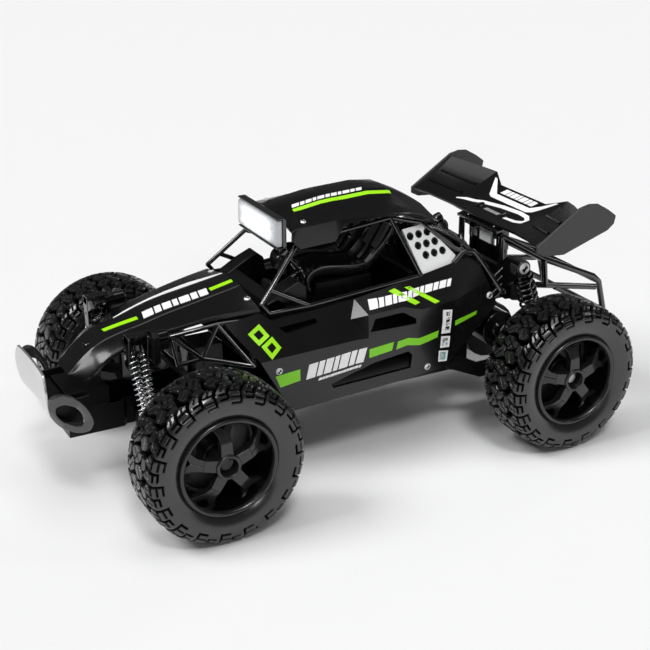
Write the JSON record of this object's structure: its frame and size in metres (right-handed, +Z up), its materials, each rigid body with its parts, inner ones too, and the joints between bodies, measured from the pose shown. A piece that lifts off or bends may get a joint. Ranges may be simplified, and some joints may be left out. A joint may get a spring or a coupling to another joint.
{
  "type": "remote control car",
  "caption": "Off-road buggy remote control car with open cabin, knobbly tyres, rear wing, light bar, steering, sprung suspension and rear drive.",
  "frame": {"origin": "on the ground under the middle of the car", "axes": "-Y towards the front bumper, +Y towards the rear cage, +X towards the car's left side, +Z up"},
  "size_m": [0.163, 0.306, 0.1269],
  "materials": {
    "black_plastic": "satin moulded black",
    "gloss_black": "semi-gloss black body panel",
    "grey_plastic": "satin dark grey",
    "tyre_rubber": "matt rubber",
    "rim_black": "gloss black",
    "steel": "bright steel",
    "white_plastic": "satin white",
    "lens": "frosted lamp lens",
    "battery_wrap": "shrink wrap",
    "board": "circuit board",
    "brass": "machined",
    "red_plastic": "satin red",
    "motor_can": "plated can",
    "shock_grey": "gloss dark grey"
  },
  "bodies": {
    "chassis": {"chassis_tub": "black_plastic", "battery_pack": "battery_wrap", "battery_cover": "grey_plastic", "circuit_board": "board", "steering_servo": "grey_plastic", "front_bumper": "black_plastic", "hood": "gloss_black", "side_shell_left": "gloss_black", "side_shell_right": "gloss_black", "roof": "gloss_black", "cage_left": "black_plastic", "cage_right": "black_plastic", "quarter_panel_left": "white_plastic", "quarter_panel_right": "white_plastic", "light_bar": "black_plastic", "light_lens": "lens", "interior_tub": "black_plastic", "engine_cover": "black_plastic", "wing": "gloss_black", "end_plate_left": "grey_plastic", "end_plate_right": "grey_plastic", "wing_stand": "black_plastic", "rear_tower": "black_plastic", "rear_cage": "black_plastic", "front_frame": "black_plastic", "front_tower": "black_plastic", "shock_body_front_left": "shock_grey", "spring_front_left": "steel", "shock_body_front_right": "shock_grey", "spring_front_right": "steel", "shock_body_rear_left": "shock_grey", "spring_rear_left": "steel", "shock_body_rear_right": "shock_grey", "spring_rear_right": "steel"},
    "power_switch": {"power_switch": "red_plastic"},
    "arm_left": {"front_arm_left": "black_plastic"},
    "arm_right": {"front_arm_right": "black_plastic"},
    "knuckle_left": {"knuckle_left": "grey_plastic"},
    "knuckle_right": {"knuckle_right": "grey_plastic"},
    "wheel_front_left": {"rim_front_left": "rim_black", "tyre_front_left": "tyre_rubber"},
    "wheel_front_right": {"rim_front_right": "rim_black", "tyre_front_right": "tyre_rubber"},
    "tie_rod": {"tie_rod": "grey_plastic"},
    "servo_horn": {"servo_horn": "white_plastic"},
    "rear_drive_unit": {"gearbox_left": "black_plastic", "gearbox_right": "black_plastic", "drive_motor": "motor_can"},
    "rear_wheels": {"rear_axle_shaft": "steel", "spur_gear": "white_plastic", "rim_rear_left": "rim_black", "tyre_rear_left": "tyre_rubber", "rim_rear_right": "rim_black", "tyre_rear_right": "tyre_rubber"},
    "motor_pinion": {"motor_pinion": "brass"},
    "shock_rod_front_left": {"shock_rod_front_left": "steel"},
    "shock_rod_front_right": {"shock_rod_front_right": "steel"},
    "shock_rod_rear_left": {"shock_rod_rear_left": "steel"},
    "shock_rod_rear_right": {"shock_rod_rear_right": "steel"}
  },
  "joints": [
    {"name": "power_switch_slide", "type": "slide", "parent": "chassis", "child": "power_switch", "axis": [0, 1, 0], "range_m": [0, 0.003]},
    {"name": "arm_left_swing", "type": "hinge", "parent": "chassis", "child": "arm_left", "pos_m": [0.014, -0.0917, 0.038], "axis": [0, -1, 0], "range_deg": [-6, 8], "stiffness_Nm_per_rad": 2.5, "springref_deg": -1.15},
    {"name": "arm_right_swing", "type": "hinge", "parent": "chassis", "child": "arm_right", "pos_m": [-0.014, -0.0917, 0.038], "axis": [0, 1, 0], "range_deg": [-6, 8], "stiffness_Nm_per_rad": 2.5, "springref_deg": -1.15},
    {"name": "steer_left", "type": "hinge", "parent": "arm_left", "child": "knuckle_left", "pos_m": [0.046, -0.0917, 0.0375], "axis": [0, 0, 1], "range_deg": [-20, 20], "stiffness_Nm_per_rad": 0.06},
    {"name": "steer_right", "type": "hinge", "parent": "arm_right", "child": "knuckle_right", "pos_m": [-0.046, -0.0917, 0.0375], "axis": [0, 0, 1], "range_deg": [-20, 20]},
    {"name": "tie_rod_slide", "type": "slide", "parent": "chassis", "child": "tie_rod", "axis": [1, 0, 0], "range_m": [-0.0036, 0.0036]},
    {"name": "servo_horn_turn", "type": "hinge", "parent": "chassis", "child": "servo_horn", "pos_m": [0, -0.078, 0.0585], "axis": [0, 1, 0], "range_deg": [-20, 20]},
    {"name": "wheel_front_left_spin", "type": "hinge", "parent": "knuckle_left", "child": "wheel_front_left", "pos_m": [0.066, -0.0917, 0.0375], "axis": [1, 0, 0], "continuous": true},
    {"name": "wheel_front_right_spin", "type": "hinge", "parent": "knuckle_right", "child": "wheel_front_right", "pos_m": [-0.066, -0.0917, 0.0375], "axis": [1, 0, 0], "continuous": true},
    {"name": "rear_axle_swing", "type": "hinge", "parent": "chassis", "child": "rear_drive_unit", "pos_m": [0, 0.05, 0.039], "axis": [1, 0, 0], "range_deg": [-6, 8], "stiffness_Nm_per_rad": 4, "springref_deg": -1.72},
    {"name": "rear_wheels_spin", "type": "hinge", "parent": "rear_drive_unit", "child": "rear_wheels", "pos_m": [0, 0.0917, 0.0375], "axis": [1, 0, 0], "continuous": true},
    {"name": "motor_spin", "type": "hinge", "parent": "rear_drive_unit", "child": "motor_pinion", "pos_m": [0, 0.0812, 0.048], "axis": [1, 0, 0], "continuous": true},
    {"name": "shock_front_left_slide", "type": "slide", "parent": "chassis", "child": "shock_rod_front_left", "axis": [-0.249, 0, 0.9685], "range_m": [-0.00264, 0.00351], "deforming": ["spring_front_left"]},
    {"name": "shock_front_right_slide", "type": "slide", "parent": "chassis", "child": "shock_rod_front_right", "axis": [0.249, 0, 0.9685], "range_m": [-0.00264, 0.00351], "deforming": ["spring_front_right"]},
    {"name": "shock_rear_left_slide", "type": "slide", "parent": "chassis", "child": "shock_rod_rear_left", "axis": [0, -0.2847, 0.9586], "range_m": [-0.00537, 0.00715], "deforming": ["spring_rear_left"]},
    {"name": "shock_rear_right_slide", "type": "slide", "parent": "chassis", "child": "shock_rod_rear_right", "axis": [0, -0.2847, 0.9586], "range_m": [-0.00537, 0.00715], "deforming": ["spring_rear_right"]}
  ],
  "couplings": [
    {"joint": "steer_right", "follows": "steer_left", "ratio": 1},
    {"joint": "tie_rod_slide", "follows": "steer_left", "m_per_rad": -0.01},
    {"joint": "servo_horn_turn", "follows": "steer_left", "ratio": 1},
    {"joint": "motor_spin", "follows": "rear_wheels_spin", "ratio": -3.2},
    {"joint": "shock_front_left_slide", "follows": "arm_left_swing", "m_per_rad": 0.024987},
    {"joint": "shock_front_right_slide", "follows": "arm_right_swing", "m_per_rad": 0.024987},
    {"joint": "shock_rear_left_slide", "follows": "rear_axle_swing", "m_per_rad": 0.051063},
    {"joint": "shock_rear_right_slide", "follows": "rear_axle_swing", "m_per_rad": 0.051063}
  ]
}
